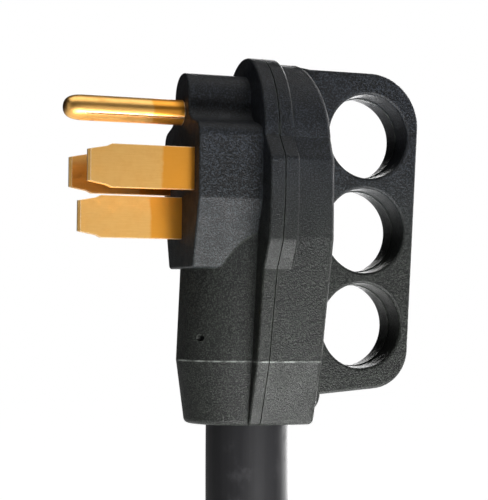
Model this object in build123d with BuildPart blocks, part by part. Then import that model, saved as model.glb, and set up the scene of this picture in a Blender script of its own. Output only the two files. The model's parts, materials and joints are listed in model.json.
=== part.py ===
from build123d import *

import math
import os

# Dogbone power adapter: a right-angle 50 A plug with a three-hole finger grip, a short four-core
# cord that hangs from it, and a straight female connector at the cord's far end. Millimetres.
#
# The origin is the centre of the plug's face, on the line of the two hot blades. +X runs from the
# face back to the grip, the blades point to -X, +Y is to one side, +Z is up, and the cord hangs
# down.

os.makedirs("parts", exist_ok=True)

# ---------------------------------------------------------------- driving dimensions

# Blade pattern of the plug. The connector's slots repeat it.
HOT_SPACING = 24.6
NEUTRAL_DROP = 13.6
GROUND_RISE = 17.6
BLADE_WIDTH = 12.2
BLADE_THICK = 2.4
BLADE_REACH = 30.9
BLADE_TIP_WIDTH = 8.8
BLADE_KNEE_WIDTH = 10.8
BLADE_KNEE = 5.3
BLADE_SHOULDER = 6.8
PIN_R = 3.7
PIN_REACH = 35.4
PIN_NOSE = 6.0
PIN_SHANK_R = 3.4
SEAM_WIDTH = 0.5
SEAM_ANGLE = 30.0
TANG_WIDTH = 4.0
TANG_THICK = 2.2
TANG_LENGTH = 7.0

# Crimped joints behind the face.
SLEEVE_OUT_R = 3.45
SLEEVE_IN_R = 2.5
SLEEVE_START = 12.3
SLEEVE_END = 20.0

# Keyed face block, front view.
BOSS_HALF = 7.15
BOSS_TOP = 29.3
BOSS_ROOT = 15.6
BLOCK_HALF = 18.0
BLOCK_SHOULDER = 12.6
BLOCK_KNEE = -8.4
BLOCK_FOOT_HALF = 12.0
BLOCK_FOOT = -28.3
BLOCK_DEPTH = 19.1
BLOCK_WALL = 2.0
FACE_WALL = 8.0
RETAINER_THICK = 4.0

# Flange rim and rear body, front view: half-widths at named heights.
ARCH_CENTRE = 9.7
ARCH_HALF = 19.8
ARCH_RISE = 25.1
SHOULDER_LOW = 3.3
RIM_HALF = 24.8
BODY_HALF = 22.0
RIM_KNEE = -20.4
FACET_FOOT = -28.5
FACET_HALF = 21.3
WAIST = -55.0
WAIST_HALF = 19.3
FOOT = -73.5
FOOT_HALF = 14.6
# The body's sides bend where their lower slope starts, flush with the lower rim.
BODY_KNEE = FACET_FOOT + (BODY_HALF - FACET_HALF) * (FACET_FOOT - WAIST) / (FACET_HALF - WAIST_HALF)
ARCH_INSET = 0.5
ARCH_DROP = 1.3

# Side view of the body: below the lean line it leans towards the face.
LEAN_TOP = -8.0
RIM_FRONT = 19.1
RIM_FRONT_FOOT = 16.4
SPLIT = 23.4
SPLIT_FOOT = 19.7
RIM_REAR = 28.0
RIM_REAR_FOOT = 25.5
BODY_REAR = 40.0
BODY_REAR_KNEE = BODY_KNEE - 0.5
REAR_ARC_FOOT = 6.7
REAR_ARC_MID = 22.0
BODY_REAR_TOP = 34.6
BODY_REAR_MID = 38.5
BODY_REAR_WAIST = 37.5
BODY_REAR_FOOT = 36.6
RIM_FILLET = 0.8
BODY_FILLET = 1.6
WALL = 2.4
SEAM_GAP = 0.3
SEAM_DEPTH = 1.0

# Neck, an oval round the cord.
CORD_X = 21.2
NECK_A_TOP = 20.7
NECK_A_WAIST = 21.8
NECK_A_FOOT = 19.2
NECK_B = 15.3
NECK_B_FOOT = 13.9
NECK_SIDE_WALL = 1.6
SHELF = -57.5
NECK_TOP = -14.0
DIMPLE_X = 3.6
DIMPLE_Z = -48.35
DIMPLE_R = 1.0
DIMPLE_REACH = 7.4

# Finger grip.
GRIP_THICK = 15.5
GRIP_TOP = 31.6
GRIP_FOOT = -65.2
GRIP_FOOT_REAR = -62.8
GRIP_REAR_TOP = 74.1
GRIP_REAR_FOOT = 69.5
GRIP_CORNER_TOP = 15.8
GRIP_CORNER_FOOT = 12.0
GRIP_FRONT = 36.0
GRIP_ROOT_RISE = 0.6
GRIP_WEB_R = 5.5
GRIP_FILLET = 0.9
HOLE_R = 12.77
HOLE_X = 55.7
HOLE_Z = -16.2
HOLE_PITCH = 28.6
HOLE_LEAN = 1.1
HOLE_DRAFT = 2.5
HOLE_LIP = 0.9
HOLE_FLASH = 0.25

# Cord: four cores round a centre filler in one jacket.
CORD_R = 12.4
JACKET_IN_R = 9.7
CORE_RING = 5.5
CORE_R = 3.7
CORE_IN_R = 2.5
COPPER_R = 2.4
GROUND_CORE_R = 3.3
GROUND_CORE_IN_R = 2.05
GROUND_COPPER_R = 1.95
FILLER_R = 1.5

# Route of the cord's centreline, from the stripped end in the plug's neck to the stripped end in
# the connector: straight down out of the neck, a slight set to one side, straight down again.
JACKET_TOP = -50.0
SET_X = 12.0
SET_Y = -5.0
BEND_HIGH = -158.0
BEND_LOW = -292.0
JACKET_FOOT = -418.0
CLAMP_HEIGHT = 5.5
CLAMP_R = 13.2
FAN_FOOT = -46.0
FAN_TOP = -31.0
FAN_R = 10.0

# Connector, hung face down under the cord.
BOOT_TOP = -366.0
BOOT_FOOT = -404.0
BOOT_TAIL = -410.0
BOOT_TOP_R = 14.6
BOOT_FOOT_R = 17.6
BOOT_TAIL_R = 14.4
BOOT_GROOVES = 6
SHELL_X = 62.0
SHELL_Y = 50.0
SHELL_CORNER = 15.0
SHELL_SHIFT = 1.8
SHELL_NECK = 36.4
SHELL_SHOULDER = -432.0
FACE = -482.0
FACE_PLATE = 6.0
FACE_PROUD = 0.6
COLLAR_HEIGHT = 9.0
COLLAR_PROUD = 2.5
RIB_COUNT = 4
RIB_PITCH = 6.0
RIB_DEPTH = 1.1
CONTACT_FOOT = -475.7
CONTACT_TOP = -451.3
CONTACT_SHEET = 0.8
CONTACT_WIDTH = 12.0
CONTACT_SLEEVE_TOP = -439.0
CONTACT_SLEEVE_FOOT = -449.0
CONTACT_FAN_TOP = -420.0
CONTACT_FAN_FOOT = -433.0
SLOT_WIDTH = 13.2
SLOT_THICK = 3.2
GROUND_HOLE_R = 4.2

FIT = 0.05

# Conductors: name, place in the blade pattern (y, z), place in the cord (x, y), radii of the
# insulation's outside and inside and of the copper.
HOT_Y = HOT_SPACING / 2
BIG_CORE = (CORE_R, CORE_IN_R, COPPER_R)
SMALL_CORE = (GROUND_CORE_R, GROUND_CORE_IN_R, GROUND_COPPER_R)
CONDUCTORS = {
    "black": ((-HOT_Y, 0.0), (0.0, -CORE_RING), BIG_CORE),
    "red": ((HOT_Y, 0.0), (0.0, CORE_RING), BIG_CORE),
    "white": ((0.0, -NEUTRAL_DROP), (-CORE_RING, 0.0), BIG_CORE),
    "green": ((0.0, GROUND_RISE), (CORE_RING, 0.0), SMALL_CORE),
}
# Height and setback at which each core rises behind the crimps in the plug.
RISER_X = {"black": 28.2, "red": 28.2, "white": 24.4, "green": 31.6}

CONNECTOR_X = CORD_X + SET_X
CONNECTOR_Y = SET_Y
RISER_R = {"black": 7.5, "red": 7.5, "white": 4.0, "green": 8.0}


def save(piece, name):
    """Label a finished sub-part and write its STEP file."""
    piece.part.label = name
    export_step(piece.part, f"parts/{name}.step")


def mirrored(points):
    """Points up the right side, followed by the same points down the left side."""
    return points + [(-y, z) for y, z in reversed(points)]


def across(edge):
    """Whether an edge is a straight line from side to side."""
    return edge.geom_type == GeomType.LINE and abs((edge % 0.5).Y) > 0.99


# ---------------------------------------------------------------- outlines


def block_outline(plane, inset=0.0):
    """Front view of the keyed face block: a boss on a shouldered, tapering block."""
    right = [
        (BLOCK_FOOT_HALF - inset / 2, BLOCK_FOOT + inset),
        (BLOCK_HALF - inset, BLOCK_KNEE),
        (BLOCK_HALF - inset, BLOCK_SHOULDER - inset),
        (BOSS_HALF - inset, BOSS_ROOT - inset),
        (BOSS_HALF - inset, BOSS_TOP - inset),
    ]
    radii = [1.5, 2.0, 4.0, 5.0, BOSS_HALF - inset - 0.1]
    with BuildSketch(plane) as outline:
        with BuildLine():
            FilletPolyline(*mirrored(right), radius=radii + radii[::-1], close=True)
        make_face()
    return outline.sketch


def flange_outline(arch_half, arch_rise, sides, radii, inset):
    """Front view of the rim or rear body: an arch, sloping shoulders and tapering sides."""
    arch_half -= inset
    arch_rise -= inset
    left = [(-arch_half, ARCH_CENTRE)]
    left += [(-half + inset, height) for half, height in sides]
    left += [(-WAIST_HALF + inset, WAIST), (-FOOT_HALF + inset, FOOT + inset)]
    right = [(-y, z) for y, z in reversed(left)]
    with BuildSketch(Plane.YZ) as outline:
        with BuildLine():
            FilletPolyline(*left, *right, radius=radii + radii[::-1])
            EllipticalCenterArc((0, ARCH_CENTRE), arch_half, arch_rise, 0, arc_size=180)
        make_face()
    return outline.sketch


def rim_outline(inset=0.0):
    """The rim stands proud of the body down to a steep facet below the knee."""
    sides = [(RIM_HALF, SHOULDER_LOW), (RIM_HALF, RIM_KNEE), (FACET_HALF, FACET_FOOT)]
    return flange_outline(ARCH_HALF, ARCH_RISE, sides, [2.5, 3.0, 0.0, 0.0, 2.0], inset)


def body_outline(inset=0.0):
    """The body's sides run straight from their knee to the waist, flush with the lower rim."""
    sides = [(BODY_HALF, SHOULDER_LOW), (BODY_HALF, BODY_KNEE)]
    arch = (ARCH_HALF - ARCH_INSET, ARCH_RISE - ARCH_DROP)
    return flange_outline(*arch, sides, [2.5, 0.0, 0.0, 2.0], inset)


def side_band(front, front_foot, rear, rear_foot):
    """Side view of a slice of the body between two lines that lean below LEAN_TOP."""
    top = ARCH_CENTRE + ARCH_RISE + 5
    foot = FOOT - 2
    with BuildSketch(Plane.XZ) as band:
        with BuildLine():
            Polyline(
                (front, top),
                (front, LEAN_TOP),
                (front_foot, foot),
                (rear_foot, foot),
                (rear, LEAN_TOP),
                (rear, top),
                close=True,
            )
        make_face()
    return band.sketch


def rear_profile(front, front_foot, inset=0.0):
    """Side view of the rear body, from a leaning front to its rear face, arched at the top."""
    top = ARCH_CENTRE + ARCH_RISE
    with BuildSketch(Plane.XZ) as profile:
        with BuildLine():
            Polyline(
                (BODY_REAR - inset, REAR_ARC_FOOT),
                (BODY_REAR - inset, BODY_REAR_KNEE),
                (BODY_REAR_WAIST - inset, WAIST),
                (BODY_REAR_FOOT - inset, FOOT - 2),
                (front_foot, FOOT - 2),
                (front, LEAN_TOP),
                (front, top),
                (BODY_REAR_TOP - inset, top),
            )
            ThreePointArc(
                (BODY_REAR_TOP - inset, top),
                (BODY_REAR_MID - inset, REAR_ARC_MID),
                (BODY_REAR - inset, REAR_ARC_FOOT),
            )
        make_face()
    return profile.sketch


def oval(height, half_x, half_y):
    """Plan view of the neck at a height."""
    with BuildSketch(Plane.XY.offset(height)) as section:
        with Locations((CORD_X, 0)):
            Ellipse(half_x, half_y)
    return section.sketch


# ---------------------------------------------------------------- plug: blades and pin


def flat_blade(y, z):
    """A brass blade with a stepped tip, a shoulder behind the face and a tang for the crimp."""
    half = BLADE_WIDTH / 2
    right = [
        (-BLADE_REACH, BLADE_TIP_WIDTH / 2),
        (-BLADE_REACH + BLADE_KNEE, BLADE_KNEE_WIDTH / 2),
        (-BLADE_REACH + BLADE_SHOULDER, half),
        (FACE_WALL, half),
        (FACE_WALL, TANG_WIDTH / 2),
        (FACE_WALL + TANG_LENGTH, TANG_WIDTH / 2),
    ]
    outline = [(x, z + w) for x, w in right] + [(x, z - w) for x, w in reversed(right)]
    with BuildPart() as blade:
        with BuildSketch(Plane.XZ.offset(-y)):
            with BuildLine():
                Polyline(*outline, close=True)
            make_face()
        extrude(amount=BLADE_THICK / 2, both=True)
        nose = blade.faces().sort_by(Axis.X)[0]
        chamfer(nose.edges().filter_by(Axis.Z), 0.7)
    return blade


for name, y, z in (
    ("line_blade_1", -HOT_Y, 0.0),
    ("line_blade_2", HOT_Y, 0.0),
    ("neutral_blade", 0.0, -NEUTRAL_DROP),
):
    save(flat_blade(y, z), name)

with BuildPart() as ground_pin:
    with BuildSketch(Plane.XZ):
        with BuildLine():
            nose = (-PIN_REACH, GROUND_RISE)
            shoulder = (-PIN_REACH + PIN_NOSE, GROUND_RISE + PIN_R)
            Spline(nose, shoulder, tangents=((0, 1), (1, 0)))
            Polyline(
                shoulder,
                (0, GROUND_RISE + PIN_R),
                (0, GROUND_RISE + PIN_SHANK_R),
                (FACE_WALL, GROUND_RISE + PIN_SHANK_R),
                (FACE_WALL, GROUND_RISE + TANG_WIDTH / 2),
                (FACE_WALL + TANG_LENGTH, GROUND_RISE + TANG_WIDTH / 2),
                (FACE_WALL + TANG_LENGTH, GROUND_RISE),
                nose,
            )
        make_face()
    revolve(axis=Axis((0, 0, GROUND_RISE), (1, 0, 0)))
    # The rolled sheet's seam runs along the underside, from the nose to the face.
    seam_plane = Plane(
        origin=(0, 0, GROUND_RISE),
        x_dir=(1, 0, 0),
        z_dir=(0, -math.cos(math.radians(SEAM_ANGLE)), -math.sin(math.radians(SEAM_ANGLE))),
    )
    with BuildSketch(seam_plane.offset(PIN_R - SEAM_WIDTH)):
        with Locations((-PIN_REACH / 2 + PIN_NOSE / 2, 0)):
            Rectangle(PIN_REACH - PIN_NOSE, SEAM_WIDTH)
    extrude(amount=2 * SEAM_WIDTH, mode=Mode.SUBTRACT)
save(ground_pin, "ground_pin")

# ---------------------------------------------------------------- plug: face and retainer

BLADE_PLACES = ((-HOT_Y, 0.0), (HOT_Y, 0.0), (0.0, -NEUTRAL_DROP))

with BuildPart() as plug_face_block:
    extrude(block_outline(Plane.YZ), amount=BLOCK_DEPTH)
    front = plug_face_block.faces().sort_by(Axis.X)[0]
    fillet(front.edges(), 0.7)
    pocket = block_outline(Plane.YZ.offset(FACE_WALL), BLOCK_WALL)
    extrude(pocket, amount=BLOCK_DEPTH, mode=Mode.SUBTRACT)
    with BuildSketch(Plane.YZ):
        with Locations(*BLADE_PLACES):
            Rectangle(BLADE_THICK + 2 * FIT, BLADE_WIDTH + 2 * FIT)
        with Locations((0, GROUND_RISE)):
            Circle(PIN_SHANK_R + FIT)
    extrude(amount=BLOCK_DEPTH, mode=Mode.SUBTRACT)
    # The block's back follows the leaning front of the rim.
    ahead = side_band(-BLOCK_DEPTH, -BLOCK_DEPTH, RIM_FRONT, RIM_FRONT_FOOT)
    extrude(ahead, amount=RIM_HALF, both=True, mode=Mode.INTERSECT)
save(plug_face_block, "plug_face_block")

with BuildPart() as plug_blade_retainer:
    plate = block_outline(Plane.YZ.offset(FACE_WALL + FIT), BLOCK_WALL + 2 * FIT)
    extrude(plate, amount=RETAINER_THICK)
    with BuildSketch(Plane.YZ):
        with Locations(*BLADE_PLACES):
            Rectangle(TANG_THICK + 4 * FIT, TANG_WIDTH + 4 * FIT)
        with Locations((0, GROUND_RISE)):
            Circle(TANG_WIDTH / 2 + 2 * FIT)
    extrude(amount=BLOCK_DEPTH, mode=Mode.SUBTRACT)
save(plug_blade_retainer, "plug_blade_retainer")

with BuildPart() as plug_crimp_sleeves:
    with BuildSketch(Plane.YZ.offset(SLEEVE_START)):
        with Locations(*[place for place, _, _ in CONDUCTORS.values()]):
            Circle(SLEEVE_OUT_R)
            Circle(SLEEVE_IN_R, mode=Mode.SUBTRACT)
    extrude(amount=SLEEVE_END - SLEEVE_START)
save(plug_crimp_sleeves, "plug_crimp_sleeves")

# ---------------------------------------------------------------- plug: shells and grip

with BuildPart() as seam_groove:
    # A shallow slot round the split between the two shells.
    extrude(rim_outline(), amount=BODY_REAR)
    extrude(rim_outline(SEAM_DEPTH), amount=BODY_REAR, mode=Mode.SUBTRACT)
    slot = side_band(SPLIT, SPLIT_FOOT, SPLIT + SEAM_GAP, SPLIT_FOOT + SEAM_GAP)
    extrude(slot, amount=RIM_HALF + WALL, both=True, mode=Mode.INTERSECT)

with BuildPart() as front_rim:
    extrude(rim_outline(), amount=BODY_REAR)
    band = side_band(RIM_FRONT, RIM_FRONT_FOOT, SPLIT, SPLIT_FOOT)
    extrude(band, amount=RIM_HALF + WALL, both=True, mode=Mode.INTERSECT)
    ahead = front_rim.edges().filter_by(
        lambda e: e.center().X < (RIM_FRONT + SPLIT_FOOT) / 2 and not across(e)
    )
    fillet(ahead, RIM_FILLET)

with BuildPart() as neck:
    loft([oval(BLOCK_FOOT - FIT, NECK_A_TOP, NECK_B), oval(WAIST, NECK_A_WAIST, NECK_B)])
    loft([oval(WAIST, NECK_A_WAIST, NECK_B), oval(FOOT, NECK_A_FOOT, NECK_B_FOOT)])
    fillet(neck.faces().sort_by(Axis.Z)[0].edges(), BODY_FILLET)
    ahead = side_band(-RIM_HALF, -RIM_HALF, SPLIT, SPLIT_FOOT)
    extrude(ahead, amount=RIM_HALF, both=True, mode=Mode.INTERSECT)
    # A small moulded dimple on one side.
    with BuildSketch(Plane.XZ.offset(NECK_B)):
        with Locations((DIMPLE_X, DIMPLE_Z)):
            Circle(DIMPLE_R)
    extrude(amount=-DIMPLE_REACH, mode=Mode.SUBTRACT)

with BuildPart() as neck_shoulders:
    # The neck's sides carry on up, and stand out of the block's tapering sides near the rim.
    extrude(oval(BLOCK_FOOT - FIT, NECK_A_TOP, NECK_B), amount=NECK_TOP - BLOCK_FOOT)
    ahead = side_band(-RIM_HALF, -RIM_HALF, SPLIT, SPLIT_FOOT)
    extrude(ahead, amount=RIM_HALF, both=True, mode=Mode.INTERSECT)
    keyed = block_outline(Plane.YZ.offset(-BLOCK_DEPTH), -FIT)
    extrude(keyed, amount=3 * BLOCK_DEPTH, mode=Mode.SUBTRACT)

with BuildPart() as neck_hollow:
    top = BLOCK_FOOT - WALL
    waist_a = NECK_A_WAIST - WALL
    side = NECK_B - NECK_SIDE_WALL
    loft([oval(top, NECK_A_TOP - WALL, side), oval(WAIST, waist_a, side)])
    loft([oval(WAIST, waist_a, side), oval(SHELF, waist_a - 0.5, side)])

def cord_bore():
    """The passage for the cord at the foot of the neck."""
    with BuildPart() as bore:
        with BuildSketch(Plane.XY.offset(FOOT - 5)):
            with Locations((CORD_X, 0)):
                Circle(CORD_R + FIT)
        extrude(amount=SHELF - FOOT + 6)
    return bore.part

def wire_room():
    """The hollow behind the face block in which the cores turn from the cord to the crimps."""
    with BuildPart() as room:
        extrude(body_outline(WALL), amount=BODY_REAR)
        side = rear_profile(RIM_FRONT + WALL / 2, RIM_FRONT_FOOT + WALL / 2, WALL)
        extrude(side, amount=RIM_HALF, both=True, mode=Mode.INTERSECT)
        split(bisect_by=Plane.XY.offset(SHELF), keep=Keep.TOP)
    return room.part


with BuildPart() as plug_front_shell:
    add(front_rim.part)
    add(neck.part)
    add(neck_shoulders.part)
    add(neck_hollow.part, mode=Mode.SUBTRACT)
    add(cord_bore(), mode=Mode.SUBTRACT)
    add(wire_room(), mode=Mode.SUBTRACT)
    # Window behind the face block.
    window = block_outline(Plane.YZ.offset(BLOCK_DEPTH - WALL), BLOCK_WALL)
    extrude(window, amount=WALL + 4.0, mode=Mode.SUBTRACT)
save(plug_front_shell, "plug_front_shell")

with BuildPart() as rear_rim:
    extrude(rim_outline(), amount=BODY_REAR)
    band = side_band(SPLIT, SPLIT_FOOT, RIM_REAR, RIM_REAR_FOOT)
    extrude(band, amount=RIM_HALF + WALL, both=True, mode=Mode.INTERSECT)
    split(bisect_by=Plane.XY.offset(FACET_FOOT), keep=Keep.TOP)
    back = rear_rim.edges().filter_by(lambda e: e.center().X > RIM_REAR - 1 and not across(e))
    fillet(back, RIM_FILLET)

with BuildPart() as rear_body:
    extrude(body_outline(), amount=BODY_REAR + WALL)
    extrude(rear_profile(SPLIT, SPLIT_FOOT), amount=RIM_HALF, both=True, mode=Mode.INTERSECT)
    back = rear_body.edges().filter_by(
        lambda e: e.center().X > BODY_REAR_TOP - 1 and not across(e)
    )
    fillet(back, BODY_FILLET)

with BuildPart() as grip:
    # The slab starts inside the rear wall of the body.
    web_start = (GRIP_FRONT + GRIP_WEB_R, GRIP_FOOT)
    web_end = (GRIP_FRONT, GRIP_FOOT - GRIP_WEB_R)
    with BuildSketch(Plane.XZ):
        with BuildLine():
            FilletPolyline(
                (GRIP_FRONT, GRIP_TOP),
                (GRIP_REAR_TOP, GRIP_TOP),
                (GRIP_REAR_FOOT, GRIP_FOOT_REAR),
                web_start,
                radius=[GRIP_CORNER_TOP, GRIP_CORNER_FOOT],
            )
            RadiusArc(web_start, web_end, GRIP_WEB_R)
            Line(web_end, (GRIP_FRONT, GRIP_TOP))
        make_face()
    extrude(amount=GRIP_THICK / 2, both=True)
    sides = grip.faces().filter_by(Axis.Y)
    outer = sides.edges().filter_by(lambda e: e.center().X > GRIP_FRONT + 0.1)
    fillet(outer, GRIP_FILLET)
    # A root that follows the arched top of the body's rear face.
    with BuildSketch(Plane.XZ):
        with BuildLine():
            Polyline(
                (BODY_REAR_TOP - WALL / 2, GRIP_TOP + GRIP_ROOT_RISE),
                (GRIP_FRONT + GRIP_WEB_R, GRIP_TOP - GRIP_FILLET / 2),
                (GRIP_FRONT + GRIP_WEB_R, ARCH_CENTRE),
                (BODY_REAR_MID - WALL / 2, ARCH_CENTRE),
                close=True,
            )
        make_face()
    extrude(amount=GRIP_THICK / 2 - GRIP_FILLET, both=True)
    # The finger holes open out a little from the mould's parting line to each face.
    waist_r = HOLE_R - GRIP_THICK / 2 * math.tan(math.radians(HOLE_DRAFT))
    for direction in (1, -1):
        with BuildSketch(Plane.XZ):
            for row in (-1, 0, 1):
                with Locations((HOLE_X + HOLE_LEAN * row, HOLE_Z + HOLE_PITCH * row)):
                    Circle(waist_r)
        extrude(amount=direction * GRIP_THICK, taper=-HOLE_DRAFT, mode=Mode.SUBTRACT)
    rounds = grip.edges().filter_by(GeomType.CIRCLE)
    lips = rounds.filter_by(
        lambda e: e.radius > waist_r and abs(abs(e.center().Y) - GRIP_THICK / 2) < FIT
    )
    fillet(lips, HOLE_LIP)
    # Flash where the mould's halves met.
    with BuildSketch(Plane.XZ):
        for row in (-1, 0, 1):
            with Locations((HOLE_X + HOLE_LEAN * row, HOLE_Z + HOLE_PITCH * row)):
                Circle(waist_r + 2 * HOLE_FLASH)
                Circle(waist_r - HOLE_FLASH, mode=Mode.SUBTRACT)
    extrude(amount=HOLE_FLASH, both=True)

with BuildPart() as plug_grip_cover:
    add(rear_rim.part)
    add(rear_body.part)
    add(seam_groove.part, mode=Mode.SUBTRACT)
    add(wire_room(), mode=Mode.SUBTRACT)
    add(cord_bore(), mode=Mode.SUBTRACT)
    add(grip.part)
save(plug_grip_cover, "plug_grip_cover")

# ---------------------------------------------------------------- cord


def route(offset_x=0.0, offset_y=0.0, top=JACKET_TOP, foot=JACKET_FOOT):
    """Points of the cord's centreline, or of a line beside it."""
    return [
        (CORD_X + offset_x, offset_y, top),
        (CORD_X + offset_x, offset_y, BEND_HIGH),
        (CONNECTOR_X + offset_x, CONNECTOR_Y + offset_y, BEND_LOW),
        (CONNECTOR_X + offset_x, CONNECTOR_Y + offset_y, foot),
    ]


def bend_radii(points):
    """The largest radius that each corner's two runs allow."""
    radii = []
    for before, corner, after in zip(points, points[1:], points[2:]):
        first = Vector(*corner) - Vector(*before)
        second = Vector(*after) - Vector(*corner)
        half_turn = math.radians(first.get_angle(second)) / 2
        radii.append(0.45 * min(first.length, second.length) / math.tan(half_turn))
    return radii


CORD_RADII = bend_radii(route(top=FOOT, foot=BOOT_TOP))
print("cord bend radii, mm:", [round(radius) for radius in CORD_RADII])


def tube(points, radii, outer, inner=0.0):
    """A round tube, or a round rod, along straight runs joined by tangent arcs."""
    with BuildPart() as piece:
        with BuildLine() as line:
            FilletPolyline(*points, radius=radii)
        path = line.wire()
        with BuildSketch(Plane(origin=path @ 0, z_dir=path % 0)):
            Circle(outer)
            if inner:
                Circle(inner, mode=Mode.SUBTRACT)
        sweep(path=path)
    expected = math.pi * (outer**2 - inner**2) * path.length
    print("tube volume against section times length:", round(piece.part.volume / expected, 4))
    return piece


save(tube(route(), CORD_RADII, CORD_R, JACKET_IN_R), "cord_jacket")
save(tube(route(), CORD_RADII, FILLER_R), "cord_filler")


def core_points(name, plug_end, connector_end):
    """A core's route from its crimp in the plug, down the cord, to its crimp in the connector."""
    (y, z), (offset_x, offset_y), _ = CONDUCTORS[name]
    riser = RISER_X[name]
    return [
        (plug_end, y, z),
        (riser, y, z),
        (riser, y, FAN_TOP),
        *route(offset_x, offset_y, FAN_FOOT, CONTACT_FAN_TOP),
        (CONNECTOR_X + z, CONNECTOR_Y + y, CONTACT_FAN_FOOT),
        (CONNECTOR_X + z, CONNECTOR_Y + y, connector_end),
    ]


for name, (_, _, (core_r, core_in_r, copper_r)) in CONDUCTORS.items():
    radii = [RISER_R[name], FAN_R, FAN_R, *CORD_RADII, FAN_R, FAN_R]
    insulated = core_points(name, SLEEVE_END + FIT, CONTACT_SLEEVE_TOP + FIT)
    save(tube(insulated, radii, core_r, core_in_r), f"core_{name}")
    bare = core_points(name, FACE_WALL + TANG_LENGTH + FIT, CONTACT_SLEEVE_FOOT + TANG_LENGTH)
    save(tube(bare, radii, copper_r), f"conductor_{name}")


def clamp_band(x, y, foot):
    """A crimped steel band round the jacket, with its crimped ear."""
    with BuildPart() as band:
        with BuildSketch(Plane.XY.offset(foot)):
            with Locations((x, y)):
                Circle(CLAMP_R)
            with Locations((x - CLAMP_R, y)):
                Rectangle(2.4, 3.0)
            with Locations((x, y)):
                Circle(CORD_R + FIT, mode=Mode.SUBTRACT)
        extrude(amount=CLAMP_HEIGHT)
    return band


save(clamp_band(CORD_X, 0.0, SHELF + FIT), "plug_cord_clamp")
save(clamp_band(CONNECTOR_X, CONNECTOR_Y, BOOT_TAIL - FIT - CLAMP_HEIGHT), "connector_cord_clamp")

# ---------------------------------------------------------------- connector


def rounded_plan(height, inset=0.0, plane=Plane.XY):
    """Plan view of the connector's shell."""
    with BuildSketch(plane.offset(height)) as plan:
        with Locations((CONNECTOR_X + SHELL_SHIFT, CONNECTOR_Y)):
            RectangleRounded(SHELL_X - 2 * inset, SHELL_Y - 2 * inset, SHELL_CORNER - inset)
    return plan.sketch


def neck_plan(height, inset=0.0):
    """Plan view of the connector's round top."""
    with BuildSketch(Plane.XY.offset(height)) as plan:
        with Locations((CONNECTOR_X, CONNECTOR_Y)):
            side = SHELL_NECK - 2 * inset
            RectangleRounded(side, side, side / 2 - 0.2)
    return plan.sketch


SHELL_FOOT = FACE + FACE_PROUD
NECK_WALL = SHELL_NECK / 2 - BOOT_TAIL_R - FIT

with BuildPart() as shell_room:
    extrude(rounded_plan(SHELL_FOOT - 1, WALL), amount=SHELL_SHOULDER - SHELL_FOOT + 1)
    loft([rounded_plan(SHELL_SHOULDER, WALL), neck_plan(BOOT_TAIL - FIT, NECK_WALL)])
    extrude(neck_plan(BOOT_TAIL - FIT, NECK_WALL), amount=10)

with BuildPart() as connector_body:
    extrude(rounded_plan(SHELL_FOOT), amount=SHELL_SHOULDER - SHELL_FOOT)
    loft([rounded_plan(SHELL_SHOULDER), neck_plan(BOOT_FOOT)])
    fillet(connector_body.edges().group_by(Axis.Z)[-1], 0.8)
    # The collar round the face.
    extrude(rounded_plan(SHELL_FOOT, -COLLAR_PROUD), amount=COLLAR_HEIGHT)
    collar = connector_body.faces().sort_by(Axis.Z)[0]
    fillet(collar.edges(), 1.0)
    # Grip grooves across both broad sides.
    groove_foot = SHELL_FOOT + COLLAR_HEIGHT + RIB_PITCH
    for side in (-1, 1):
        with BuildSketch(Plane.XZ.offset(-(CONNECTOR_Y + side * SHELL_Y / 2))):
            for row in range(RIB_COUNT):
                with Locations((CONNECTOR_X + SHELL_SHIFT, groove_foot + row * RIB_PITCH)):
                    SlotOverall(SHELL_X - 2 * SHELL_CORNER, RIB_PITCH / 2)
        extrude(amount=RIB_DEPTH, both=True, mode=Mode.SUBTRACT)
    add(shell_room.part, mode=Mode.SUBTRACT)
save(connector_body, "connector_body")

with BuildPart() as connector_strain_relief:
    with BuildSketch(Plane.XZ.offset(-CONNECTOR_Y)):
        with BuildLine():
            bore = CONNECTOR_X + CORD_R + FIT
            Polyline(
                (bore, BOOT_TAIL),
                (CONNECTOR_X + BOOT_TAIL_R, BOOT_TAIL),
                (CONNECTOR_X + BOOT_TAIL_R, BOOT_FOOT),
                (CONNECTOR_X + BOOT_FOOT_R, BOOT_FOOT + FIT),
                (CONNECTOR_X + BOOT_TOP_R, BOOT_TOP),
                (bore, BOOT_TOP),
                close=True,
            )
        make_face()
        # Flex grooves, evenly spaced up the taper.
        pitch = (BOOT_TOP - BOOT_FOOT) / (BOOT_GROOVES + 1)
        for row in range(1, BOOT_GROOVES + 1):
            share = row / (BOOT_GROOVES + 1)
            radius = BOOT_FOOT_R + (BOOT_TOP_R - BOOT_FOOT_R) * share
            with Locations((CONNECTOR_X + radius, BOOT_FOOT + row * pitch)):
                Rectangle(2.0, pitch / 2.5, mode=Mode.SUBTRACT)
    revolve(axis=Axis((CONNECTOR_X, CONNECTOR_Y, 0), (0, 0, 1)))
save(connector_strain_relief, "connector_strain_relief")

SLOT_PLACES = [(CONNECTOR_X + z, CONNECTOR_Y + y) for y, z in BLADE_PLACES]
GROUND_PLACE = (CONNECTOR_X + GROUND_RISE, CONNECTOR_Y)
POCKET_THICK = BLADE_THICK + 2 * CONTACT_SHEET + 4 * FIT
GROUND_TUBE_R = PIN_R + FIT + CONTACT_SHEET

with BuildPart() as connector_face_block:
    extrude(rounded_plan(FACE, WALL + 2 * FIT), amount=FACE_PLATE)
    fillet(connector_face_block.faces().sort_by(Axis.Z)[0].edges(), 0.4)
    with BuildSketch(Plane.XY.offset(FACE)):
        with Locations(*SLOT_PLACES):
            RectangleRounded(SLOT_WIDTH, SLOT_THICK, 0.5)
        with Locations(GROUND_PLACE):
            Circle(GROUND_HOLE_R)
    extrude(amount=FACE_PLATE, mode=Mode.SUBTRACT)
save(connector_face_block, "connector_face_block")

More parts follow.
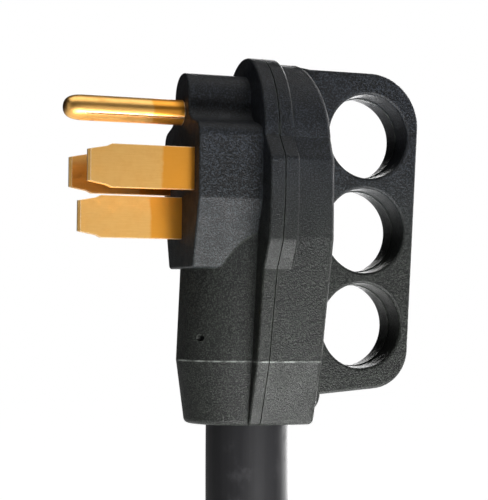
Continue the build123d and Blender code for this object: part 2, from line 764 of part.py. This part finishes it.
with BuildPart() as connector_inner_core:
    extrude(rounded_plan(FACE + FACE_PLATE + FIT, WALL + 2 * FIT), amount=CONTACT_TOP - FACE - 8)
    with BuildSketch(Plane.XY.offset(FACE)):
        with Locations(*SLOT_PLACES):
            Rectangle(CONTACT_WIDTH + 4 * FIT, POCKET_THICK)
        with Locations(GROUND_PLACE):
            Circle(GROUND_TUBE_R + FIT)
    extrude(amount=CONTACT_TOP - FACE, mode=Mode.SUBTRACT)
save(connector_inner_core, "connector_inner_core")


def blade_contact(x, y):
    """Two spring leaves joined by a bridge, with a tang for the crimp."""
    with BuildPart() as contact:
        leaf = CONTACT_WIDTH / 2
        with BuildSketch(Plane.XY.offset(CONTACT_FOOT)):
            with Locations((x, y)):
                Rectangle(CONTACT_WIDTH, BLADE_THICK + 2 * CONTACT_SHEET)
                Rectangle(CONTACT_WIDTH, BLADE_THICK + FIT, mode=Mode.SUBTRACT)
        extrude(amount=CONTACT_TOP - CONTACT_FOOT)
        with BuildSketch(Plane.XY.offset(CONTACT_TOP - CONTACT_SHEET)):
            with Locations((x, y)):
                Rectangle(CONTACT_WIDTH, BLADE_THICK + 2 * CONTACT_SHEET)
        extrude(amount=CONTACT_SHEET)
        with BuildSketch(Plane.XY.offset(CONTACT_TOP)):
            with Locations((x, y)):
                Rectangle(TANG_WIDTH, TANG_THICK)
        extrude(amount=TANG_LENGTH)
    return contact


for name, (x, y) in zip(("line_1", "line_2", "neutral"), SLOT_PLACES):
    save(blade_contact(x, y), f"connector_contact_{name}")

with BuildPart() as connector_contact_ground:
    with BuildSketch(Plane.XY.offset(CONTACT_FOOT)):
        with Locations(GROUND_PLACE):
            Circle(GROUND_TUBE_R)
            Circle(GROUND_TUBE_R - CONTACT_SHEET, mode=Mode.SUBTRACT)
    extrude(amount=CONTACT_TOP - CONTACT_FOOT)
    with BuildSketch(Plane.XY.offset(CONTACT_TOP - CONTACT_SHEET)):
        with Locations(GROUND_PLACE):
            Circle(GROUND_TUBE_R)
    extrude(amount=CONTACT_SHEET)
    with BuildSketch(Plane.XY.offset(CONTACT_TOP)):
        with Locations(GROUND_PLACE):
            Circle(TANG_WIDTH / 2)
    extrude(amount=TANG_LENGTH)
save(connector_contact_ground, "connector_contact_ground")

with BuildPart() as connector_crimp_sleeves:
    with BuildSketch(Plane.XY.offset(CONTACT_SLEEVE_FOOT)):
        with Locations(*SLOT_PLACES, GROUND_PLACE):
            Circle(SLEEVE_OUT_R)
            Circle(SLEEVE_IN_R, mode=Mode.SUBTRACT)
    extrude(amount=CONTACT_SLEEVE_TOP - CONTACT_SLEEVE_FOOT)
save(connector_crimp_sleeves, "connector_crimp_sleeves")
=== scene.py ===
import json
import math

import bpy
from mathutils import Matrix, Vector


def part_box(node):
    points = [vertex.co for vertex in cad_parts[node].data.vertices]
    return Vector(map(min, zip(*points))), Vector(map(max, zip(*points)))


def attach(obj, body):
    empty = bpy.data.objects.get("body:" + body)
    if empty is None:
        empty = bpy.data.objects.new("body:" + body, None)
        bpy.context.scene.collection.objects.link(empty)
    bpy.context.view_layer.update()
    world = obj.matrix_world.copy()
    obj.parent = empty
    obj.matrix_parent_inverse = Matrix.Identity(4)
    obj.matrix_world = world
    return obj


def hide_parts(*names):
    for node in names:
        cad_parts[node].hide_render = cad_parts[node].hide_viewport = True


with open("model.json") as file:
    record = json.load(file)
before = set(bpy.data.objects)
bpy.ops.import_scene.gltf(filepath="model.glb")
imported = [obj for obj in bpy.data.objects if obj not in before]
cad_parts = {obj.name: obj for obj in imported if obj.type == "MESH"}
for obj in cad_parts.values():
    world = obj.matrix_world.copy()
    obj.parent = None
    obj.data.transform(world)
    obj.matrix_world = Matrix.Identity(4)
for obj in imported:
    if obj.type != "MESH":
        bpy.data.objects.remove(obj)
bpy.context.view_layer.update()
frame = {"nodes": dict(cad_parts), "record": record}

# Looks of the dogbone power adapter. Metres, in the CAD model's own frame: the origin is the centre
# of the plug's face, +X runs back to the grip, +Z is up and the cord hangs down.

MM = 0.001
WHITE = (1.0, 1.0, 1.0, 1.0)


# ---------------------------------------------------------------- camera

# The plug is seen from its left, a little from the front and a little from below.
CAMERA_PLACE = Vector((-116.64, -393.03, -37.51)) * MM
CAMERA_YAW = math.radians(19.14)
CAMERA_PITCH = math.radians(2.07)
CAMERA_ROLL = math.radians(0.44)
CAMERA_LENS = 100.56


def make_camera():
    """A camera at the photograph's viewing angle."""
    forward = Vector((
        math.sin(CAMERA_YAW) * math.cos(CAMERA_PITCH),
        math.cos(CAMERA_YAW) * math.cos(CAMERA_PITCH),
        math.sin(CAMERA_PITCH),
    ))
    level = Vector((math.cos(CAMERA_YAW), -math.sin(CAMERA_YAW), 0.0))
    upright = level.cross(forward)
    right = math.cos(CAMERA_ROLL) * level + math.sin(CAMERA_ROLL) * upright
    up = math.cos(CAMERA_ROLL) * upright - math.sin(CAMERA_ROLL) * level
    data = bpy.data.cameras.new("camera")
    data.lens = CAMERA_LENS
    data.sensor_width = 36.0
    data.clip_start = 0.01
    data.clip_end = 50.0
    camera = bpy.data.objects.new("camera", data)
    bpy.context.scene.collection.objects.link(camera)
    turn = Matrix((right, up, -forward)).transposed().to_4x4()
    camera.matrix_world = Matrix.Translation(CAMERA_PLACE) @ turn
    bpy.context.scene.camera = camera


make_camera()


# ---------------------------------------------------------------- cord

CORD_RADIUS = 12.4 * MM
CORD_ROUTE = [
    Vector((21.2, 0.0, -73.5)) * MM,
    Vector((21.2, 0.0, -158.0)) * MM,
    Vector((33.2, -5.0, -292.0)) * MM,
    Vector((33.2, -5.0, -366.0)) * MM,
]


def make_cord():
    """The cord's jacket, on one smooth line from the plug's neck to the connector's boot."""
    curve = bpy.data.curves.new("cord", "CURVE")
    curve.dimensions = "3D"
    curve.bevel_depth = 1.0
    curve.bevel_resolution = 14
    curve.resolution_u = 24
    curve.use_fill_caps = True
    spline = curve.splines.new("NURBS")
    spline.points.add(len(CORD_ROUTE) - 1)
    for point, place in zip(spline.points, CORD_ROUTE):
        point.co = (*place, 1.0)
        # The points carry the cord's radius, so that the curve's own box is right.
        point.radius = CORD_RADIUS
    spline.order_u = 3
    spline.use_endpoint_u = True
    cord = bpy.data.objects.new("cord", curve)
    bpy.context.scene.collection.objects.link(cord)
    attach(cord, "root")
    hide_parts("cord_jacket")
    return cord


cord = make_cord()


# ---------------------------------------------------------------- material helpers

# Places on the plug where a finish or a painted tint, highlight, shade or reflection changes, each
# as a pair: where it starts and where it ends.
WAIST = -55 * MM
PAINTED_CREASE_WIDTH = (0.32 * MM, 0.08 * MM)
PAINTED_CREASE_END = (37.9 * MM, 37.3 * MM)
PAINTED_TINT_FADE = (-34 * MM, 14 * MM)
ROOT_STAIN_AND_SHADE = (-9.2 * MM, -8.2 * MM)
NOSE_PAINTED_REFLECTION = (-33.2 * MM, -34.8 * MM)


class Nodes:
    """Short names for the nodes of one material."""

    def __init__(self, name):
        self.material = bpy.data.materials.new(name)
        self.material.use_nodes = True
        self.tree = self.material.node_tree
        self.shader = self.tree.nodes["Principled BSDF"]
        self.place = self.tree.nodes.new("ShaderNodeTexCoord").outputs["Object"]

    def node(self, kind, **settings):
        made = self.tree.nodes.new(kind)
        for key, value in settings.items():
            setattr(made, key, value)
        return made

    def link(self, source, target):
        self.tree.links.new(source, target)

    def stretched(self, scale):
        """The place, scaled along each axis, for streaks and brush marks."""
        mapping = self.node("ShaderNodeMapping")
        mapping.inputs["Scale"].default_value = scale
        self.link(self.place, mapping.inputs["Vector"])
        return mapping.outputs["Vector"]

    def noise(self, scale, detail=2.0, roughness=0.5, vector=None):
        made = self.node("ShaderNodeTexNoise")
        made.inputs["Scale"].default_value = scale
        made.inputs["Detail"].default_value = detail
        made.inputs["Roughness"].default_value = roughness
        self.link(vector or self.place, made.inputs["Vector"])
        return made.outputs["Fac"]

    def ramp(self, source, low, high, start=0.0, end=1.0):
        """source from low to high, mapped to start to end, and clamped."""
        made = self.node("ShaderNodeMapRange", interpolation_type="SMOOTHSTEP")
        made.inputs["From Min"].default_value = low
        made.inputs["From Max"].default_value = high
        made.inputs["To Min"].default_value = start
        made.inputs["To Max"].default_value = end
        self.link(source, made.inputs["Value"])
        return made.outputs["Result"]

    def math(self, operation, first, second):
        made = self.node("ShaderNodeMath", operation=operation)
        for socket, value in zip(made.inputs, (first, second)):
            if isinstance(value, (int, float)):
                socket.default_value = value
            else:
                self.link(value, socket)
        return made.outputs["Value"]

    def mix(self, share, first, second):
        made = self.node("ShaderNodeMix", data_type="RGBA")
        for index, value in ((0, share), (6, first), (7, second)):
            if isinstance(value, (int, float, tuple)):
                made.inputs[index].default_value = value
            else:
                self.link(value, made.inputs[index])
        return made.outputs[2]

    def axis(self, letter):
        """One coordinate of the place."""
        split = self.node("ShaderNodeSeparateXYZ")
        self.link(self.place, split.inputs["Vector"])
        return split.outputs[letter]

    def edges(self, radius):
        """1 on edges that are sharper than the radius, 0 on flats."""
        soft = self.node("ShaderNodeBevel", samples=4)
        soft.inputs["Radius"].default_value = radius
        flat = self.node("ShaderNodeNewGeometry")
        likeness = self.node("ShaderNodeVectorMath", operation="DOT_PRODUCT")
        self.link(soft.outputs["Normal"], likeness.inputs[0])
        self.link(flat.outputs["Normal"], likeness.inputs[1])
        return self.ramp(likeness.outputs["Value"], 0.998, 0.93, 0.0, 1.0)

    def bump(self, height, distance, strength=1.0, under=None):
        made = self.node("ShaderNodeBump")
        made.inputs["Distance"].default_value = distance
        made.inputs["Strength"].default_value = strength
        self.link(height, made.inputs["Height"])
        if under is not None:
            self.link(under, made.inputs["Normal"])
        return made.outputs["Normal"]


def moulded_rubber(name, low, grain, gloss, painted_crease_highlight=False):
    """Matt black moulded rubber: a fine spark-eroded grain, faint clouds and edges painted paler as
    a highlight.

    Its pale flecks turn from the low colour, near the cord, to a bluer one at the top, a painted
    tint of the light. A crease is a thin painted highlight line round the plug at its waist, where
    a ridge would catch the light.
    """
    n = Nodes(name)
    # Painted tint: the flecks turn bluer towards the top and greener near the cord, standing in for
    # light from above and from the floor.
    pale = n.mix(n.ramp(n.axis("Z"), *PAINTED_TINT_FADE), low, RUBBER_TOP_PAINTED_TINT)
    clouds = n.noise(90.0, 3.0)
    speckle = n.ramp(n.noise(grain, 1.0, 0.5), 0.42, 0.72)
    tone = n.math("ADD", n.math("MULTIPLY", speckle, 0.7), n.ramp(clouds, 0.3, 0.75, 0.0, 0.1))
    # Painted highlight: sharp edges are painted paler, broken up by noise.
    painted_edge_highlight = n.math("MULTIPLY", n.edges(0.5 * MM), n.ramp(n.noise(420.0, 3.0), 0.35, 0.7, 0.2, 1.0))
    body = n.mix(tone, RUBBER_DARK, pale)
    painted_edge_colour = tuple(1.8 * c for c in low[:3]) + (1.0,)
    tinted = n.mix(n.math("MULTIPLY", painted_edge_highlight, 0.5), body, painted_edge_colour)
    if painted_crease_highlight:
        # Painted highlight: a pale line round the waist where the crease's ridge would catch the
        # light.
        height = n.math("ABSOLUTE", n.math("SUBTRACT", n.axis("Z"), WAIST), 0.0)
        painted_crease_line = n.ramp(height, *PAINTED_CREASE_WIDTH)
        painted_crease_line = n.math("MULTIPLY", painted_crease_line, n.ramp(n.axis("X"), *PAINTED_CREASE_END))
        painted_crease_line = n.math("MULTIPLY", painted_crease_line, n.ramp(n.noise(300.0, 3.0), 0.35, 0.6, 0.25, 1.0))
        tinted = n.mix(painted_crease_line, tinted, (0.13, 0.14, 0.13, 1.0))
    n.link(tinted, n.shader.inputs["Base Color"])
    rough = n.ramp(n.noise(260.0, 3.0), 0.3, 0.7, gloss - 0.05, gloss + 0.07)
    n.link(rough, n.shader.inputs["Roughness"])
    n.shader.inputs["Specular IOR Level"].default_value = 0.20
    fine = n.bump(n.noise(grain, 2.0, 0.6), 0.22 * MM, 1.0)
    n.link(n.bump(clouds, 0.10 * MM, 0.25, fine), n.shader.inputs["Normal"])
    return n.material


def rolled_brass(name):
    """Rolled brass: pale and lightly brushed along the blade, redder and duller at its root, partly
    a stain and partly painted shade next to the plug's face. Its nose carries a painted dark
    reflection and its edges painted highlights.
    """
    n = Nodes(name)
    brushed = n.noise(1.0, 3.0, 0.6, n.stretched((160.0, 2600.0, 2600.0)))
    blotches = n.ramp(n.noise(260.0, 5.0, 0.7), 0.35, 0.85)
    wobble = n.math("MULTIPLY", n.noise(320.0, 3.0), 1.6 * MM)
    along = n.math("ADD", n.axis("X"), wobble)
    # Partly a stain and partly painted shade: the blade darkens and reddens next to the plug's
    # face.
    root = n.ramp(along, *ROOT_STAIN_AND_SHADE)
    # Painted reflection: the nose of each blade is painted dark brown, as a dark reflection.
    painted_nose_reflection = n.ramp(along, *NOSE_PAINTED_REFLECTION)
    pale = n.mix(brushed, (0.70, 0.42, 0.14, 1.0), (0.58, 0.31, 0.08, 1.0))
    stained = n.mix(n.math("MULTIPLY", blotches, 0.5), pale, (0.50, 0.25, 0.06, 1.0))
    with_root_stain_and_shade = n.mix(n.math("MULTIPLY", root, 0.85), stained, (0.60, 0.24, 0.02, 1.0))
    with_painted_nose_reflection = n.mix(n.math("MULTIPLY", painted_nose_reflection, 0.8), with_root_stain_and_shade, (0.20, 0.11, 0.05, 1.0))
    # Painted highlight: the blade's sharp edges are painted pale gold.
    painted_edge_highlight = n.edges(0.35 * MM)
    bright = n.mix(n.math("MULTIPLY", painted_edge_highlight, 0.8), with_painted_nose_reflection, (1.0, 0.86, 0.60, 1.0))
    n.link(bright, n.shader.inputs["Base Color"])
    n.shader.inputs["Metallic"].default_value = 1.0
    rough = n.math("ADD", n.ramp(blotches, 0.0, 1.0, 0.32, 0.42), n.math("MULTIPLY", brushed, 0.10))
    n.link(rough, n.shader.inputs["Roughness"])
    scratches = n.bump(brushed, 0.015 * MM, 0.8)
    n.link(n.bump(blotches, 0.03 * MM, 0.4, scratches), n.shader.inputs["Normal"])
    return n.material


def cord_jacket(name):
    """Satin thermoplastic jacket: drawn lengthwise, with faint streaks and scuffs."""
    n = Nodes(name)
    drawn = n.noise(1.0, 3.0, 0.6, n.stretched((700.0, 700.0, 18.0)))
    scuffs = n.ramp(n.noise(150.0, 4.0, 0.7), 0.55, 0.75)
    body = n.mix(drawn, (0.003, 0.003, 0.0035, 1.0), (0.010, 0.010, 0.011, 1.0))
    scuffed = n.mix(n.math("MULTIPLY", scuffs, 0.3), body, (0.03, 0.03, 0.032, 1.0))
    n.link(scuffed, n.shader.inputs["Base Color"])
    n.link(n.ramp(scuffs, 0.0, 1.0, 0.42, 0.55), n.shader.inputs["Roughness"])
    n.shader.inputs["Specular IOR Level"].default_value = 0.18
    fine = n.bump(n.noise(2600.0, 2.0), 0.03 * MM, 0.5)
    n.link(n.bump(drawn, 0.05 * MM, 0.5, fine), n.shader.inputs["Normal"])
    return n.material


def plain_plastic(name, colour, gloss):
    """A plastic that is moulded or extruded, with faint clouds and a fine skin."""
    n = Nodes(name)
    clouds = n.noise(160.0, 3.0)
    darker = tuple(0.75 * c for c in colour[:3]) + (1.0,)
    n.link(n.mix(n.ramp(clouds, 0.3, 0.7), darker, colour), n.shader.inputs["Base Color"])
    rough = n.ramp(n.noise(300.0, 3.0), 0.3, 0.7, gloss - 0.06, gloss + 0.06)
    n.link(rough, n.shader.inputs["Roughness"])
    n.link(n.bump(n.noise(2400.0, 2.0), 0.03 * MM, 0.4), n.shader.inputs["Normal"])
    return n.material


def metal(name, colour, dull, gloss, streaks):
    """A drawn or pressed metal with streaks along one axis."""
    n = Nodes(name)
    drawn = n.noise(1.0, 3.0, 0.6, n.stretched(streaks))
    n.link(n.mix(drawn, dull, colour), n.shader.inputs["Base Color"])
    n.shader.inputs["Metallic"].default_value = 1.0
    n.link(n.ramp(drawn, 0.3, 0.7, gloss, gloss + 0.15), n.shader.inputs["Roughness"])
    n.link(n.bump(drawn, 0.02 * MM, 0.6), n.shader.inputs["Normal"])
    return n.material


def fibre(name):
    """Twisted paper and jute filler."""
    n = Nodes(name)
    strands = n.noise(1.0, 4.0, 0.7, n.stretched((2200.0, 2200.0, 260.0)))
    tone = n.mix(strands, (0.36, 0.29, 0.18, 1.0), (0.66, 0.58, 0.42, 1.0))
    n.link(tone, n.shader.inputs["Base Color"])
    n.shader.inputs["Roughness"].default_value = 0.9
    n.link(n.bump(strands, 0.2 * MM, 0.8), n.shader.inputs["Normal"])
    return n.material


# ---------------------------------------------------------------- materials by slot

RUBBER_DARK = (0.0008, 0.0009, 0.0010, 1.0)
# The top and low fleck colours are a painted tint of the light from above and from the floor.
RUBBER_TOP_PAINTED_TINT = (0.020, 0.024, 0.031, 1.0)
RUBBER_LOW = (0.026, 0.030, 0.025, 1.0)
FACE_LOW = (0.026, 0.032, 0.033, 1.0)

# Each metal: its colour, its dull colour, its roughness, and the scale of its streaks.
BRASS = ((0.80, 0.58, 0.28, 1.0), (0.62, 0.42, 0.18, 1.0), 0.28, (2400.0, 2400.0, 90.0))
COPPER = ((0.86, 0.45, 0.28, 1.0), (0.66, 0.30, 0.17, 1.0), 0.30, (2600.0, 2600.0, 140.0))
STEEL = ((0.72, 0.72, 0.74, 1.0), (0.52, 0.52, 0.54, 1.0), 0.30, (90.0, 90.0, 2200.0))
TIN = ((0.80, 0.80, 0.78, 1.0), (0.60, 0.60, 0.59, 1.0), 0.32, (1200.0, 1200.0, 1200.0))

# Each plain plastic: its colour and its roughness.
PLASTICS = {
    "connector_face": ((0.030, 0.030, 0.032, 1.0), 0.45),
    "core_plastic": ((0.09, 0.09, 0.09, 1.0), 0.50),
    "insulation_black": ((0.020, 0.020, 0.021, 1.0), 0.35),
    "insulation_red": ((0.50, 0.025, 0.020, 1.0), 0.35),
    "insulation_white": ((0.76, 0.75, 0.71, 1.0), 0.35),
    "insulation_green": ((0.03, 0.26, 0.06, 1.0), 0.35),
}

MATERIALS = {
    "blade_brass": rolled_brass("blade_brass"),
    "contact_brass": metal("contact_brass", *BRASS),
    "plug_rubber": moulded_rubber("plug_rubber", RUBBER_LOW, 2500.0, 0.47, painted_crease_highlight=True),
    "face_rubber": moulded_rubber("face_rubber", FACE_LOW, 2300.0, 0.50),
    "connector_rubber": moulded_rubber("connector_rubber", RUBBER_LOW, 2400.0, 0.48),
    "cord_jacket": cord_jacket("cord_jacket"),
    "filler_fibre": fibre("filler_fibre"),
    "copper": metal("copper", *COPPER),
    "clamp_steel": metal("clamp_steel", *STEEL),
    "sleeve_tin": metal("sleeve_tin", *TIN),
}
for slot, (colour, gloss) in PLASTICS.items():
    MATERIALS[slot] = plain_plastic(slot, colour, gloss)

for part in frame["record"]["subparts"]:
    node = frame["nodes"][part["node"]]
    node.data.materials.clear()
    node.data.materials.append(MATERIALS[part["material_slot"]])
cord.data.materials.append(MATERIALS["cord_jacket"])


# ---------------------------------------------------------------- stage and light

FLOOR_HALF = 6.0
FLOOR_GAP = 30 * MM


def make_floor():
    """A plain pale floor under the hanging connector."""
    low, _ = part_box("connector_face_block")
    mesh = bpy.data.meshes.new("floor")
    height = low.z - FLOOR_GAP
    turns = ((-1, -1), (1, -1), (1, 1), (-1, 1))
    corners = [(x * FLOOR_HALF, y * FLOOR_HALF, height) for x, y in turns]
    mesh.from_pydata(corners, [], [(0, 1, 2, 3)])
    floor = bpy.data.objects.new("floor", mesh)
    bpy.context.scene.collection.objects.link(floor)
    material = bpy.data.materials.new("floor")
    material.use_nodes = True
    tree = material.node_tree
    shader = tree.nodes["Principled BSDF"]
    shader.inputs["Base Color"].default_value = (0.94, 0.94, 0.94, 1.0)
    shader.inputs["Roughness"].default_value = 0.9
    shader.inputs["Emission Color"].default_value = WHITE
    # It looks evenly lit, but throws less light up on to the plug.
    rays = tree.nodes.new("ShaderNodeLightPath")
    glow = tree.nodes.new("ShaderNodeMapRange")
    glow.inputs["To Min"].default_value = 0.30
    glow.inputs["To Max"].default_value = 0.97
    tree.links.new(rays.outputs["Is Camera Ray"], glow.inputs["Value"])
    tree.links.new(glow.outputs["Result"], shader.inputs["Emission Strength"])
    mesh.materials.append(material)


def make_world():
    """A white tent: bright above and below, dimmer level with the plug, plain white behind it."""
    world = bpy.data.worlds.new("tent")
    bpy.context.scene.world = world
    world.use_nodes = True
    tree = world.node_tree
    tent = tree.nodes["Background"]
    backdrop = tree.nodes.new("ShaderNodeBackground")
    backdrop.inputs["Color"].default_value = WHITE
    backdrop.inputs["Strength"].default_value = 1.0
    place = tree.nodes.new("ShaderNodeTexCoord")
    split = tree.nodes.new("ShaderNodeSeparateXYZ")
    steep = tree.nodes.new("ShaderNodeMath")
    steep.operation = "ABSOLUTE"
    bright = tree.nodes.new("ShaderNodeMapRange")
    bright.inputs["From Min"].default_value = 0.20
    bright.inputs["From Max"].default_value = 0.95
    bright.inputs["To Min"].default_value = 0.06
    bright.inputs["To Max"].default_value = 1.0
    tree.links.new(place.outputs["Generated"], split.inputs["Vector"])
    tree.links.new(split.outputs["Z"], steep.inputs[0])
    tree.links.new(steep.outputs["Value"], bright.inputs["Value"])
    tree.links.new(bright.outputs["Result"], tent.inputs["Strength"])
    rays = tree.nodes.new("ShaderNodeLightPath")
    chooser = tree.nodes.new("ShaderNodeMixShader")
    tree.links.new(rays.outputs["Is Camera Ray"], chooser.inputs["Fac"])
    tree.links.new(tent.outputs["Background"], chooser.inputs[1])
    tree.links.new(backdrop.outputs["Background"], chooser.inputs[2])
    tree.links.new(chooser.outputs["Shader"], tree.nodes["World Output"].inputs["Surface"])


def area_light(name, place, aim, size, power):
    data = bpy.data.lights.new(name, "AREA")
    data.shape = "RECTANGLE"
    data.size = size[0]
    data.size_y = size[1]
    data.energy = power
    light = bpy.data.objects.new(name, data)
    bpy.context.scene.collection.objects.link(light)
    light.location = place
    light.rotation_mode = "QUATERNION"
    light.rotation_quaternion = (Vector(aim) - Vector(place)).to_track_quat("-Z", "Y")


make_floor()
make_world()

# Soft boxes: name, place, the point that it faces, width and height, and power in watts.
PLUG_MIDDLE = (0.02, 0.0, -0.02)
CORD_MIDDLE = (0.03, 0.0, -0.2)
SOFT_BOXES = [
    ("top_softbox", (0.0, -0.15, 0.75), PLUG_MIDDLE, (0.9, 0.7), 5.0),
    ("left_softbox", (-0.9, -0.35, 0.10), PLUG_MIDDLE, (0.6, 0.8), 1.2),
    ("low_card", (0.12, -0.42, -0.46), PLUG_MIDDLE, (0.45, 0.22), 15.0),
    ("back_softbox", (0.85, 0.35, 0.15), CORD_MIDDLE, (0.7, 0.9), 16.0),
    ("far_softbox", (0.62, 0.90, 0.10), CORD_MIDDLE, (0.7, 0.9), 18.0),
    # A small card level with the plug, for the blades' broad faces to mirror.
    ("blade_card", (0.32, -0.93, 0.05), (-0.02, 0.0, 0.0), (0.34, 0.26), 0.62),
]
for box in SOFT_BOXES:
    area_light(*box)

bpy.context.scene.view_settings.view_transform = "Standard"
